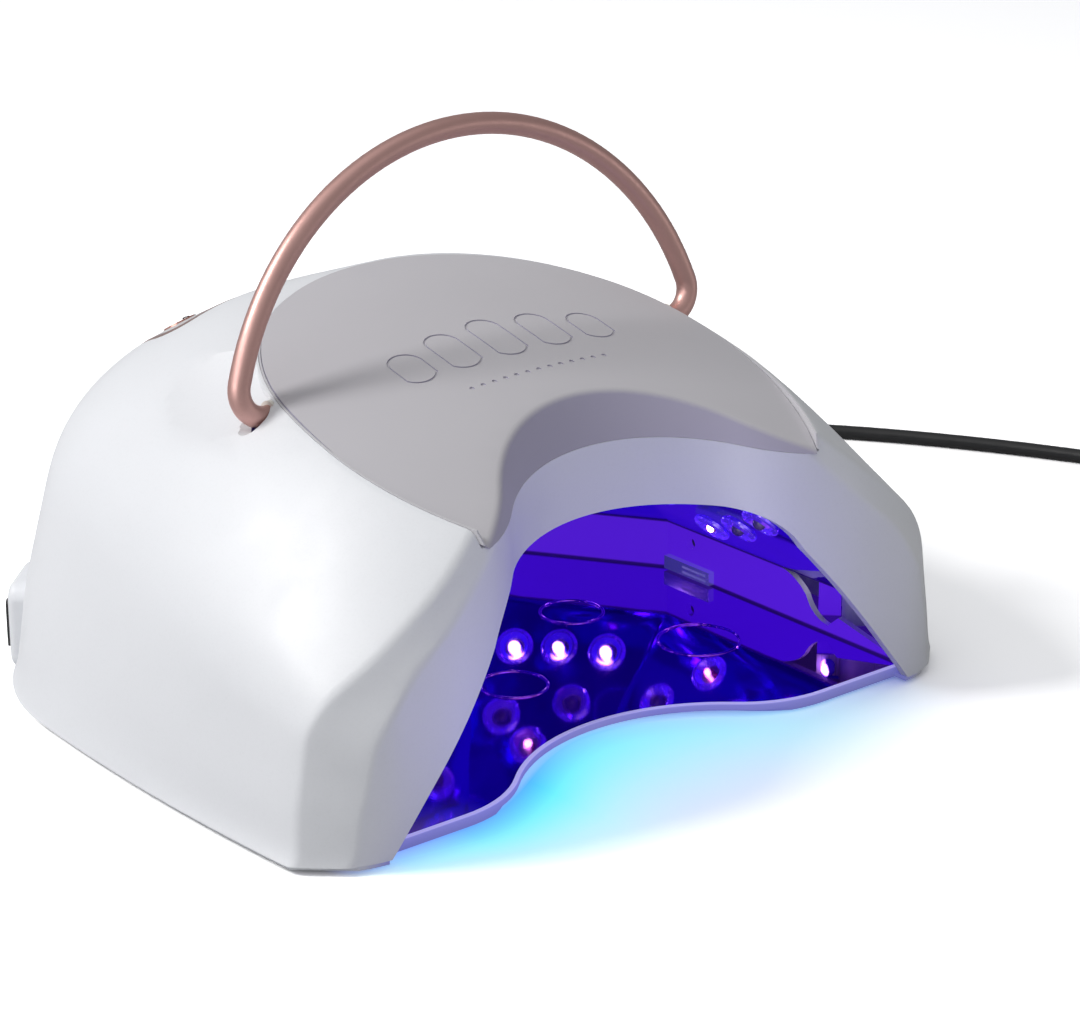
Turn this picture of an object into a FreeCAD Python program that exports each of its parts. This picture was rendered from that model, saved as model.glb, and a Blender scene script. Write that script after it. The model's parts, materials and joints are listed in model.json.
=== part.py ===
"""UV LED nail lamp, in millimetres.

The origin is on the table, under the middle of the tray's centre pad. +X is across the hand
opening, to the right for somebody who sits in front of it, +Y to the rear, +Z up. The lamp is drawn
with y = 0 under the front edge of its two feet; save() moves every piece to the origin.
"""
import FreeCAD, Part
import math
import os

os.makedirs("parts", exist_ok=True)
V = FreeCAD.Vector

# ---------------------------------------------------------------- driving dimensions
BODY_HALF_WIDTH = 122.0
BODY_DEPTH = 206.0
HOOD_BOTTOM = 2.5
TILT = 0.25                 # rise per mm of depth of the planes that the upper body is drawn on
KNEE_HEIGHT = 39.5          # height of the knee plane over the table at y = 0
VISOR_HEIGHT = 78.0         # height of the visor's lower edge plane at y = 0
SEAM_HEIGHT = 82.3          # height of the cover seam plane at y = 0
WALL = 2.8
COVER_WALL = 1.8
CROWN = 7.5                 # rise of the cover over its seam plane
OPENING_TOP = 66.6
CHAMBER_CEILING = 71.0
SKIRT_TOP = 20.0
TRAY_TOP = 4.2
ROD_RADIUS = 3.175
PIVOT = V(0, 85.5, 98.6)    # on the handle's axis, which is parallel to X
HANDLE_RISE = 68.9          # pivot axis to the centre line of the rod at its apex
HANDLE_LEAN = 7.2           # degrees to the rear at rest
CORD_RADIUS = 2.4
CORD_REST = 2.5             # height of the cord's centre line where it lies on the table
RUN = 0.05                  # radial running clearance
ORIGIN = V(0, 100.0, 0)     # middle of the tray's centre pad

# The hood's skin passes through three outlines. Each lies on the plane z = h + k*y and is
# mirrored in x: a chamfer from (x2, y2) back to y1, a side that is widest (xm) at ym and curves
# by 1/cf in front of it and 1/cr behind it, a corner arc of radius r and a straight rear at yr.
BOTTOM = dict(h=HOOD_BOTTOM, k=0.0, x2=107.6, y2=4.8, y1=15.5, xm=BODY_HALF_WIDTH, ym=78.0,
              cf=1 / 775, cr=1 / 775, r=75.0, yr=BODY_DEPTH)
KNEE = dict(h=KNEE_HEIGHT, k=TILT, x2=100.0, y2=3.2, y1=15.5, xm=115.0, ym=50.0,
            cf=1 / 330, cr=1 / 330, r=58.0, yr=187.0)
SHOULDER = dict(h=SEAM_HEIGHT, k=TILT, x2=51.0, y2=9.0, y1=9.0, xm=74.5, ym=56.0,
                cf=1 / 98, cr=1 / 150, r=70.5, yr=138.2)
SEAM = dict(h=0.0, k=TILT, x2=48.0, y2=5.5, y1=5.5, xm=73.3, ym=56.0,
            cf=1 / 97, cr=1 / 150, r=70.0, yr=136.8)
SLOPE_BULGE = dict(h=1.5, k=0.025, y1=-5.5, y2=-4.1)   # how far the slope's middle bows out


# ---------------------------------------------------------------- outlines and the hood's skin
def save(node, shape):
    """Write one node, moved to the origin; a list of solids becomes a compound."""
    if isinstance(shape, list):
        shape = Part.makeCompound(shape)
    moved = shape.copy()
    moved.translate(ORIGIN * -1)
    moved.exportStep("parts/%s.step" % node)


def at_height(p, z):
    return V(p.x, p.y, z)


def left_of(p):
    return V(-p.x, p.y, p.z)


def mix(a, b, t):
    return {key: a[key] * (1 - t) + b[key] * t for key in a}


def slope(t):
    """Outline on the upper slope, from the knee (t = 0) to the shoulder (t = 1)."""
    section = mix(KNEE, SHOULDER, t)
    for key, amount in SLOPE_BULGE.items():
        section[key] += amount * 4 * t * (1 - t)
    return section


def knee_round(t, below, above):
    """Outline on the rounded knee: a parabola between the wall and the slope."""
    return mix(mix(below, KNEE, t), mix(KNEE, above, t), t)


def outline(section, inset=0.0, lift=0.0):
    """Closed wire of one outline, moved inwards by inset and up by lift."""
    s = dict(section)
    xm, rear = s["xm"] - inset, s["yr"] - inset
    front_r, side_r = 1 / s["cf"] - inset, 1 / s["cr"] - inset
    corner_r = s["r"] - inset
    y1 = s["y1"] + inset
    x1 = xm - front_r + math.sqrt(front_r ** 2 - (y1 - s["ym"]) ** 2)
    x2, y2 = s["x2"] - inset, s["y2"] + inset
    x3, y3 = x2 + 0.8 * (x2 - x1), y2 + 0.8 * (y2 - y1)
    yc = rear - corner_r
    angle = math.asin((yc - s["ym"]) / (side_r - corner_r))
    xc = xm - side_r + (side_r - corner_r) * math.cos(angle)

    def point(x, y):
        return V(x, y, s["h"] + s["k"] * y + lift)

    def on_front(y):
        return point(xm - front_r + math.sqrt(front_r ** 2 - (y - s["ym"]) ** 2), y)

    def on_side(a):
        return point(xm - side_r + side_r * math.cos(a), s["ym"] + side_r * math.sin(a))

    def on_corner(a):
        return point(xc + corner_r * math.cos(a), yc + corner_r * math.sin(a))

    quarter = math.pi / 2
    right = [(point(x3, y3), None, point(x1, y1)),
             (point(x1, y1), on_front((y1 + s["ym"]) / 2), point(xm, s["ym"])),
             (point(xm, s["ym"]), on_side(angle / 2), on_side(angle)),
             (on_side(angle), on_corner((angle + quarter) / 2), on_corner(quarter))]
    edges = []
    for start, middle, end in right:
        edges.append(Part.Arc(start, middle, end).toShape() if middle else Part.makeLine(start, end))
    edges.append(Part.makeLine(on_corner(quarter), left_of(on_corner(quarter))))
    for start, middle, end in reversed(right):
        start, end = left_of(end), left_of(start)
        edges.append(Part.Arc(start, left_of(middle), end).toShape() if middle
                     else Part.makeLine(start, end))
    edges.append(Part.makeLine(left_of(right[0][0]), right[0][0]))
    return Part.Wire(edges)


def skin(inset=0.0, drop=0.0):
    """Solid inside the hood's skin moved inwards by inset; drop lowers its bottom."""
    below, above = mix(BOTTOM, KNEE, 0.8), slope(0.2)
    foot = dict(BOTTOM)
    foot["h"] -= drop
    sections = [foot] + [mix(BOTTOM, KNEE, t) for t in (0.3, 0.6)]
    sections += [knee_round(t, below, above) for t in (0.0, 0.25, 0.5, 0.75, 1.0)]
    sections += [slope(t) for t in (0.4, 0.6, 0.8, 1.0)]
    wires = [outline(s, inset) for s in sections]
    top = dict(SHOULDER)
    top["h"] -= inset
    wires[-1] = outline(top, inset)
    return Part.makeLoft(wires, True, False)


def arc_xy(cx, cy, r, x_from, x_to, side):
    """Arc in plan from x_from to x_to; side is +1 for the rear half of the circle, -1 front."""
    def at(x):
        return V(x, cy + side * math.sqrt(r * r - (x - cx) ** 2), 0)
    return Part.Arc(at(x_from), at((x_from + x_to) / 2), at(x_to)).toShape()


def bay_face(grow=0.0):
    """Plan region in front of the hood's concave front, with its edge moved back by grow."""
    centre_r, side_r = 58.0 + grow, 52.4 - grow
    side_x, side_y = 80.0, 54.1
    centre_y = side_y - math.sqrt((centre_r + side_r) ** 2 - side_x ** 2)
    flat_end, foot_r, foot_x = 92.0, 38.0 - grow, 116.0
    flat_y = side_y - side_r
    share = centre_r / (centre_r + side_r)
    join_x = side_x * share
    foot_y = flat_y + foot_r
    edges = [arc_xy(0, centre_y, centre_r, -join_x, join_x, 1),
             arc_xy(side_x, side_y, side_r, join_x, side_x, -1),
             Part.makeLine(V(side_x, flat_y, 0), V(flat_end, flat_y, 0)),
             arc_xy(flat_end, foot_y, foot_r, flat_end, foot_x, -1)]
    foot_front = V(foot_x, foot_y - math.sqrt(foot_r ** 2 - (foot_x - flat_end) ** 2), 0)
    corner_right, corner_left = V(foot_x + 12, foot_front.y, 0), V(-foot_x - 12, foot_front.y, 0)
    far_right, far_left = V(foot_x + 12, -60, 0), V(-foot_x - 12, -60, 0)
    edges += [Part.makeLine(foot_front, corner_right),
              Part.makeLine(corner_right, far_right),
              Part.makeLine(far_right, far_left),
              Part.makeLine(far_left, corner_left),
              Part.makeLine(corner_left, V(-foot_x, foot_front.y, 0)),
              arc_xy(-flat_end, foot_y, foot_r, -foot_x, -flat_end, -1),
              Part.makeLine(V(-flat_end, flat_y, 0), V(-side_x, flat_y, 0)),
              arc_xy(-side_x, side_y, side_r, -side_x, -join_x, -1)]
    return Part.Face(Part.Wire(Part.__sortEdges__(edges)))


def bay(grow=0.0):
    """Upright prism in front of the hood's concave front."""
    face = bay_face(grow)
    face.translate(V(0, 0, -10))
    return face.extrude(V(0, 0, 160))


def between(wire_section, inset, low, high):
    """Upright prism of an outline between two planes parallel to the seam plane."""
    face = Part.Face(outline(wire_section, inset, low))
    return face.extrude(V(0, 0, high - low))


def box(x0, y0, z0, x1, y1, z1):
    return Part.makeBox(x1 - x0, y1 - y0, z1 - z0, V(x0, y0, z0))


def cylinder(radius, start, direction, length):
    return Part.makeCylinder(radius, length, start, direction)


def rounded_prism(width, height, corner, z0, z1):
    """Rounded rectangle centred on the origin, from z0 to z1."""
    solid = Part.makeBox(width, height, z1 - z0, V(-width / 2, -height / 2, z0))
    upright = [e for e in solid.Edges
               if abs(e.Vertexes[0].X - e.Vertexes[1].X) < 1e-6
               and abs(e.Vertexes[0].Y - e.Vertexes[1].Y) < 1e-6]
    return solid.makeFillet(corner, upright)


def frame_at(origin, z_axis, x_hint):
    """Placement with local Z on z_axis and local X as near x_hint as it can be."""
    z = V(z_axis).normalize()
    x = (x_hint - z * x_hint.dot(z)).normalize()
    y = z.cross(x)
    return FreeCAD.Placement(FreeCAD.Matrix(x.x, y.x, z.x, origin.x, x.y, y.y, z.y, origin.y,
                                            x.z, y.z, z.z, origin.z, 0, 0, 0, 1))


def placed(shape, placement):
    copy = shape.copy()
    copy.Placement = placement.multiply(copy.Placement)
    return copy


def mirrored(shape):
    return shape.mirror(V(0, 0, 0), V(1, 0, 0))


# ---------------------------------------------------------------- hood
PANEL_SIZE = (120.0, 32.0)      # rear control panel, rose-gold frame included
PANEL_BORDER = 3.0
PANEL_FOOT = V(0, 163.0, 90.0)  # a point under the panel's middle
DISPLAY_SIZE = (34.0, 14.0)
BUTTON_RADIUS = 5.0
BUTTON_PLACES = (-46.0, -30.0, 30.0, 46.0)
BOSS_ANGLE = 134.0              # plan direction of the power switch, from the corner arc's centre
SWITCH_HEIGHT = 16.0
BOSS_PROUD = 3.0
JACK_PLACE = V(26.0, 206.0, 20.0)
REAR = V(0, 1, 0)
UP = V(0, 0, 1)
RIGHT = V(1, 0, 0)

HANDLE_ARC = 86.0
FOLD = 62.0                     # degrees that the handle folds to the rear
HANDLE_BEND = 8.0
STUB_END = 58.5
CLIP = dict(x=59.4, thick=0.8, outer=4.4, groove=2.6)
arc_centre = HANDLE_RISE - HANDLE_ARC
bend_x = math.sqrt((HANDLE_ARC - HANDLE_BEND) ** 2 - (HANDLE_BEND - arc_centre) ** 2)
lean = math.radians(HANDLE_LEAN)


def in_handle(x, s):
    """Point of the handle's leaning plane, s mm from the pivot axis."""
    return V(x, PIVOT.y + s * math.sin(lean), PIVOT.z + s * math.cos(lean))


bend_angle = math.atan2(HANDLE_BEND - arc_centre, bend_x)
touch = (HANDLE_ARC * math.cos(bend_angle), arc_centre + HANDLE_ARC * math.sin(bend_angle))


def folding_pocket(side, angle=FOLD, grow=0.5):
    """Room in the slope for the rod's bend as the handle folds to the rear."""
    r = ROD_RADIUS + grow
    turn = bend_angle + math.radians(24)

    def bend_point(radius, a):
        return in_handle(bend_x + radius * math.cos(a), HANDLE_BEND + radius * math.sin(a))

    def bow_point(radius, a):
        return in_handle(radius * math.cos(a), arc_centre + radius * math.sin(a))

    low, mid = -math.pi / 2, (bend_angle - math.pi / 2) / 2
    half = (bend_angle + turn) / 2
    outline_edges = []
    for sign in (1, -1):
        near, far = HANDLE_BEND + sign * r, HANDLE_ARC + sign * r
        outline_edges.append(Part.Arc(bend_point(near, low), bend_point(near, mid),
                                      bend_point(near, bend_angle)).toShape())
        outline_edges.append(Part.Arc(bow_point(far, bend_angle), bow_point(far, half),
                                      bow_point(far, turn)).toShape())
    for at, radius, end in ((bend_point, HANDLE_BEND, low), (bow_point, HANDLE_ARC, turn)):
        outline_edges.append(Part.makeLine(at(radius + r, end), at(radius - r, end)))
    band = Part.Face(Part.Wire(Part.__sortEdges__(outline_edges)))
    swept = []
    for reach in (60, -60):
        plan = ((40, 0), (100, 0), (100, reach), (40, reach), (40, 0))
        corners = [in_handle(x, s) for x, s in plan]
        half_plane = Part.Face(Part.makePolygon(corners))
        swept += [face.revolve(PIVOT, RIGHT * -1, angle) for face in band.common(half_plane).Faces]
    centre_line = [Part.Arc(bend_point(HANDLE_BEND, low), bend_point(HANDLE_BEND, mid),
                            bend_point(HANDLE_BEND, bend_angle)).toShape(),
                   Part.Arc(bow_point(HANDLE_ARC, bend_angle), bow_point(HANDLE_ARC, half),
                            bow_point(HANDLE_ARC, turn)).toShape()]
    start = Part.Wire([Part.makeCircle(r, bend_point(HANDLE_BEND, low), RIGHT)])
    rod = Part.Wire(centre_line).makePipeShell([start], True, True)
    folded = rod.copy()
    folded.rotate(PIVOT, RIGHT * -1, angle)
    pocket = rod.fuse(swept + [folded])
    return mirrored(pocket) if side < 0 else pocket


JACK_PROUD = 2.0
JACK_BODY = 5.4
NUT_RADIUS = 8.0
NUT_THICK = 2.4
NUT_TOP = -5.0                  # where the nut bears on the inside of the jack's boss
FLANGE_TOP = 4.6                # the mirror chamber's base flange, from 0.5 mm above the hood's edge
BOARD_TOP = -9.4                # control board's top, under the panel's surface
POSTS = [(x, y) for x in (-22.0, 22.0) for y in (-11.0, 11.0)]
CHAMBER_SCREWS = [(113.5, 40.0), (113.0, 125.0), (52.0, 198.0)]
COVER_SCREWS = [(64.5, 30.0), (45.0, 116.0)]


def ledge_top(y):
    """Height of the ledge that the cover stands on."""
    return VISOR_HEIGHT + TILT * y


outer = skin()
slope_angle = math.atan2((SHOULDER["h"] + TILT * SHOULDER["yr"]) - (KNEE["h"] + TILT * KNEE["yr"]),
                         KNEE["yr"] - SHOULDER["yr"])
panel_normal = V(0, math.sin(slope_angle), math.cos(slope_angle))


def exit_point(start, direction, solid=outer):
    """Where a ray from inside leaves a solid."""
    ray = Part.makeLine(start, start + direction * 120)
    inside = solid.common(ray).Edges[0]
    return max((v.Point for v in inside.Vertexes), key=lambda p: p.distanceToPoint(start))


panel_place = frame_at(exit_point(PANEL_FOOT, panel_normal), panel_normal, RIGHT * -1)
corner_y = BOTTOM["yr"] - BOTTOM["r"]
boss_way = V(math.cos(math.radians(BOSS_ANGLE)), math.sin(math.radians(BOSS_ANGLE)), 0)
boss_place = frame_at(exit_point(V(-45.5, corner_y, SWITCH_HEIGHT), boss_way) + boss_way * BOSS_PROUD,
                      boss_way, UP)
jack_face = exit_point(JACK_PLACE - REAR * 60, REAR)
jack_place = frame_at(jack_face, REAR, RIGHT)


def crease_edges(solid):
    """The hood's long front creases: first the front face's edge, then the side's edge."""
    front, side = [], []
    for edge in solid.Edges:
        middle = edge.valueAt((edge.FirstParameter + edge.LastParameter) / 2)
        ends = [v.Point for v in edge.Vertexes]
        low, high = min(p.z for p in ends), max(p.z for p in ends)
        rising = high - low > 8 and max(p.y for p in ends) < 17
        if rising and low < 3 and high > 80:
            side.append(edge)
        elif rising and not (abs(ends[0].x - ends[1].x) < 0.01 and abs(ends[0].y - ends[1].y) < 0.01):
            if abs(middle.x) > 55:
                front.append(edge)
    return front, side


def shoulder_edges(solid):
    return [e for e in solid.Edges
            if min(v.Z for v in e.Vertexes) > 90 and max(v.Y for v in e.Vertexes) > 60
            and len(e.Vertexes) == 2]


def opening_prism(y0, y1):
    """Arched hand opening, prism along Y."""
    foot, haunch, bend = V(97.9, y0, 0.0), V(56.8, y0, 50.8), V(50.0, y0, 59.0)
    crown, top = V(36.0, y0, 64.6), V(0, y0, OPENING_TOP)
    below = V(foot.x + 4, y0, -8)
    edges = [Part.makeLine(below, foot), Part.makeLine(foot, haunch),
             Part.Arc(haunch, bend, crown).toShape(),
             Part.Arc(crown, top, left_of(crown)).toShape(),
             Part.Arc(left_of(crown), left_of(bend), left_of(haunch)).toShape(),
             Part.makeLine(left_of(haunch), left_of(foot)), Part.makeLine(left_of(foot), left_of(below)),
             Part.makeLine(left_of(below), below)]
    return Part.Face(Part.Wire(edges)).extrude(V(0, y1 - y0, 0))


def pivot_axis(side, radius, x0, x1):
    """Cylinder on the handle's axis from |x| = x0 to x1 on one side."""
    start = V(side * x0, PIVOT.y, PIVOT.z)
    return cylinder(radius, start, V(side, 0, 0), x1 - x0)


SCOOP_RADIUS = 80.0
SCOOP_DEPTH = 2.4


def scoop(side, grow=0.0):
    """Ball that hollows the slope behind the handle's foot, where the folded rod comes to lie."""
    way = V(side * 0.66, 0, 0.75)
    middle = exit_point(V(side * 42, PIVOT.y + 18, 78), way) + way * (SCOOP_RADIUS - SCOOP_DEPTH)
    return Part.makeSphere(SCOOP_RADIUS + grow, middle)


LEDGE = 2.5
EAR = dict(x0=61.5, x1=73.0, half=6.5)
BUSH_RADIUS = 4.3

hood = outer.cut(bay())
front_creases, side_creases = crease_edges(hood)
hood = hood.makeFillet(5.0, side_creases + front_creases)
hood = hood.makeFillet(5.0, shoulder_edges(hood))
cavity = skin(WALL, 6.0).cut(bay(WALL))
hood_wall = hood.cut(cavity)
ledge = between(SHOULDER, 1.0, VISOR_HEIGHT - SEAM_HEIGHT - LEDGE, VISOR_HEIGHT - SEAM_HEIGHT)
well = between(SEAM, 9.0, VISOR_HEIGHT - LEDGE - 2, VISOR_HEIGHT + 2).cut(bay(11.0))
ledge = ledge.cut(well).cut(bay(1.0))
ears = []
for side in (-1, 1):
    x0, x1 = sorted((side * EAR["x0"], side * EAR["x1"]))
    ears.append(box(x0, PIVOT.y - EAR["half"], PIVOT.z - 9, x1, PIVOT.y + EAR["half"], PIVOT.z - 0.5))
bowls = [scoop(side, 2.2).common(hood).common(skin(0.3)) for side in (-1, 1)]
hood_wall = hood_wall.fuse([ledge] + ears + bowls).removeSplitter()
recess = between(SEAM, -0.95, VISOR_HEIGHT, VISOR_HEIGHT + 20)
hood_wall = hood_wall.cut(recess)
rim = between(SEAM, -1.6, 40, 160)
for side in (-1, 1):
    hood_wall = hood_wall.cut(scoop(side).cut(rim))
    hood_wall = hood_wall.cut(pivot_axis(side, CLIP["outer"] + 0.8, STUB_END - 1, EAR["x0"] - 0.1))
    hood_wall = hood_wall.cut(pivot_axis(side, BUSH_RADIUS, 50, EAR["x1"] + 0.2))
    hood_wall = hood_wall.cut(pivot_axis(side, ROD_RADIUS + 0.35, 50, 95))
    hood_wall = hood_wall.cut(folding_pocket(side))
hood_wall = hood_wall.cut(opening_prism(-20, 42))

pw, ph = PANEL_SIZE
panel_prism = placed(rounded_prism(pw, ph, 9.0, -14, 8), panel_place)
panel_inner = placed(rounded_prism(pw - 2 * PANEL_BORDER, ph - 2 * PANEL_BORDER, 6.5, -14, 8),
                     panel_place)
panel_seat = skin(1.4)
panel_room = placed(rounded_prism(pw + 0.3, ph + 0.3, 9.1, -14, 8), panel_place).cut(panel_seat)
hood_wall = hood_wall.cut(panel_room)

button_spots = [frame_at(exit_point(PANEL_FOOT + RIGHT * x, panel_normal), panel_normal, RIGHT * -1)
                for x in BUTTON_PLACES]

button_wells = [placed(cylinder(BUTTON_RADIUS + 0.25, V(0, 0, -14), UP, 26), p) for p in button_spots]
flange_wells = [placed(cylinder(BUTTON_RADIUS + 1.8, V(0, 0, -16), UP, 13.8), p) for p in button_spots]
posts = [placed(cylinder(2.6, V(x, y, BOARD_TOP), UP, 12), panel_place).common(panel_seat)
         for x, y in POSTS]
hood_wall = hood_wall.fuse(posts)
display_well = placed(rounded_prism(DISPLAY_SIZE[0], DISPLAY_SIZE[1], 2.0, -14, 8), panel_place)
display_glass = placed(rounded_prism(DISPLAY_SIZE[0] + 4, DISPLAY_SIZE[1] + 4, 3.0, -14, 8), panel_place)
hood_wall = hood_wall.cut(button_wells + flange_wells + [display_well])

SWITCH_HOLE = (12.0, 15.0)
boss_outer = placed(rounded_prism(27.0, 26.0, 5.0, -16, 0.0), boss_place).cut(cavity)
boss_top = [e for e in boss_outer.Edges if all(abs((v.Point - boss_place.Base).dot(boss_way)) < 1e-4
                                              for v in e.Vertexes)]
boss_outer = boss_outer.makeFillet(2.5, boss_top)
hood_wall = hood_wall.fuse(boss_outer).removeSplitter()
switch_room = rounded_prism(SWITCH_HOLE[0] + 0.2, SWITCH_HOLE[1] + 0.2, 1.0, -30, 4)
hood_wall = hood_wall.cut(placed(switch_room, boss_place))
jack_boss = placed(cylinder(11.0, V(0, 0, -20), UP, 20 + JACK_PROUD), jack_place).cut(cavity)
feet_posts = [cylinder(5.5, V(side * x, y, FLANGE_TOP), UP, 20).common(outer).cut(bay(WALL))
              for x, y in CHAMBER_SCREWS for side in (-1, 1)]
hood_wall = hood_wall.fuse([jack_boss] + feet_posts).removeSplitter()
hood_wall = hood_wall.cut(placed(cylinder(JACK_BODY + 0.2, V(0, 0, -22), UP, 30), jack_place))
hood_wall = hood_wall.cut(placed(cylinder(NUT_RADIUS + 0.6, V(0, 0, -30), UP, 30 + NUT_TOP), jack_place))
hood_wall = hood_wall.cut([cylinder(1.2, V(side * x, y, 0), UP, 18)
                           for x, y in CHAMBER_SCREWS for side in (-1, 1)])
hood_wall = hood_wall.cut([cylinder(1.5, V(side * x, y, ledge_top(y) - 8), UP, 20)
                           for x, y in COVER_SCREWS for side in (-1, 1)])
hood_wall = hood_wall.cut([placed(cylinder(1.0, V(x, y, -12), UP, 8), panel_place) for x, y in POSTS])
save("housing_shell", hood_wall)

# ---------------------------------------------------------------- top cover and its seal
shear = FreeCAD.Matrix(1, 0, 0, 0, 0, 1, 0.6, 0, 0, TILT, 1, 0, 0, 0, 0, 1)


def visor_cut(grow=0.0):
    """Space in front of the visor band, which leans back 0.6 mm per mm of height."""
    face = bay_face(grow)
    face.translate(V(0, 0, -6))
    leaning = face.extrude(V(0, 0, 60)).transformGeometry(shear)
    leaning.translate(V(0, 0, VISOR_HEIGHT))
    return leaning


def crown(drop=0.0):
    """Sphere whose cap rises CROWN over the middle of the seam plane."""
    tilt_angle = math.atan(TILT)
    half = SEAM["xm"] + 1.5
    radius = (half ** 2 + CROWN ** 2) / (2 * CROWN)
    middle_y = 70.0
    middle = V(0, middle_y, SEAM_HEIGHT + TILT * middle_y)
    normal = V(0, -math.sin(tilt_angle), math.cos(tilt_angle))
    return Part.makeSphere(radius - drop, middle + normal * (CROWN - radius))


cover = between(SEAM, 0.0, VISOR_HEIGHT + 0.1, VISOR_HEIGHT + 30).common(crown())
cover = cover.cut(visor_cut())


def visor_crease(solid):
    """Edges between the cover's crown and its visor band."""
    found = []
    for edge in solid.Edges:
        middle = edge.valueAt((edge.FirstParameter + edge.LastParameter) / 2)
        level = middle.z - TILT * middle.y
        if abs(middle.x) < 56 and middle.y < 50 and level > SEAM_HEIGHT - 0.5 and edge.Length > 4:
            found.append(edge)
    return found


cover = cover.makeFillet(3.6, visor_crease(cover))
cover_room = between(SEAM, 2.4, VISOR_HEIGHT - 2, VISOR_HEIGHT + 30).common(crown(COVER_WALL))
cover_room = cover_room.cut(visor_cut(2.2))
cover = cover.cut(cover_room)
cover_fill = between(SEAM, 0.5, VISOR_HEIGHT + 0.1, VISOR_HEIGHT + 30).common(crown(1.0))
screw_bosses = [cylinder(2.8, V(side * x, y, 70), UP, 60).common(cover_fill)
                for x, y in COVER_SCREWS for side in (-1, 1)]
cover = cover.fuse(screw_bosses).removeSplitter()
cover = cover.cut([cylinder(1.0, V(side * x, y, 70), UP, ledge_top(y) + 3.3 - 70)
                   for x, y in COVER_SCREWS for side in (-1, 1)])
for side in (-1, 1):
    cover = cover.cut(pivot_axis(side, BUSH_RADIUS + 0.2, 50, 90))

NAILS = [(-32.5, 15.5), (-16.5, 19.5), (0.0, 21.5), (16.5, 19.5), (32.5, 15.5)]   # x and length
NAIL_HALF = 5.6
NAIL_FOOT = 66.0                # y of the sunk nail shapes' lower ends
LINE_WIDTH = 0.7
SUNK = 0.35


def nail(x, length, inset):
    """Plan of one finger nail: straight sides between a flat arc and a rounder one."""
    half = NAIL_HALF - inset
    low, high = NAIL_FOOT + 3.0 + inset * 0.4, NAIL_FOOT + length - 4.5 - inset * 0.2
    corners = [V(x - half, low, 0), V(x + half, low, 0), V(x + half, high, 0), V(x - half, high, 0)]
    edges = [Part.Arc(corners[0], V(x, NAIL_FOOT + inset, 0), corners[1]).toShape(),
             Part.makeLine(corners[1], corners[2]),
             Part.Arc(corners[2], V(x, NAIL_FOOT + length - inset, 0), corners[3]).toShape(),
             Part.makeLine(corners[3], corners[0])]
    return Part.Face(Part.Wire(edges))


marks = [nail(x, length, 0.0).cut(nail(x, length, LINE_WIDTH)).extrude(UP * 140) for x, length in NAILS]
marks += [cylinder(0.75, V(x * 4.0, 57.5, 0), UP, 140) for x in range(-6, 7)]
cover = cover.cut([mark.cut(crown(SUNK)) for mark in marks])
save("top_cover", cover)
seal = between(SEAM, -0.8, VISOR_HEIGHT + 1.0, SEAM_HEIGHT + 0.1)
seal = seal.cut(between(SEAM, -0.2, VISOR_HEIGHT - 3, SEAM_HEIGHT + 5)).cut(visor_cut(0.4)).cut(bay(0.4))
for side in (-1, 1):
    seal = seal.cut(pivot_axis(side, BUSH_RADIUS + 0.2, 50, 90))
save("cover_seal", seal.Solids)

cover_screws = [cylinder(0.95, V(side * x, y, ledge_top(y) - LEDGE - 1), UP, 6.2).fuse(
    cylinder(2.3, V(side * x, y, ledge_top(y) - LEDGE - 2.6), UP, 1.6))
    for x, y in COVER_SCREWS for side in (-1, 1)]
save("cover_screws", cover_screws)

# ---------------------------------------------------------------- mirror chamber and its lights
SKIRT_X = 98.5
SKIRT_CORNER = V(SKIRT_X, 112.0, 0)
REAR_CORNER = V(62.5, 165.0, 0)
ROOF_CORNER = V(46.0, 100.0, 0)
ROOF_REAR = V(28.0, 126.5, 0)
MIRROR_WALL = 2.0
ROOF_WALL = 1.6
BOARD_GAP = 3.2                 # mirror surface to the front of a light board
BOARD_THICK = 1.2


def chamber_ring(corner, rear, z, grow):
    """One level of the chamber: an open-fronted room with two clipped rear corners."""
    way = (rear - corner).normalize()
    out = V(way.y, -way.x, 0)
    shift = out * grow
    front = V(corner.x + grow, -12, z)
    a = V(corner.x + grow, corner.y + shift.y + (shift.x - grow) * way.y / way.x, z)
    b = V(rear.x + shift.x + (grow - shift.y) * way.x / way.y, rear.y + grow, z)
    points = [front, a, b, left_of(b), left_of(a), left_of(front), front]
    return Part.makePolygon(points)


def chamber_room(grow, roof_grow, bottom):
    rings = [chamber_ring(SKIRT_CORNER, REAR_CORNER, bottom, grow),
             chamber_ring(SKIRT_CORNER, REAR_CORNER, SKIRT_TOP, grow),
             chamber_ring(ROOF_CORNER, ROOF_REAR, CHAMBER_CEILING + roof_grow, grow)]
    return Part.makeLoft(rings, True, True)


room = chamber_room(0.0, 0.0, 0.0)
chamber = chamber_room(MIRROR_WALL, ROOF_WALL, HOOD_BOTTOM + 0.5)
flange = Part.Face(outline(BOTTOM, WALL + 0.5, 0.5)).extrude(V(0, 0, FLANGE_TOP - HOOD_BOTTOM - 0.5))
chamber = chamber.fuse(flange.common(cavity)).cut(room).cut(bay(WALL + 0.3))

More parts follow.
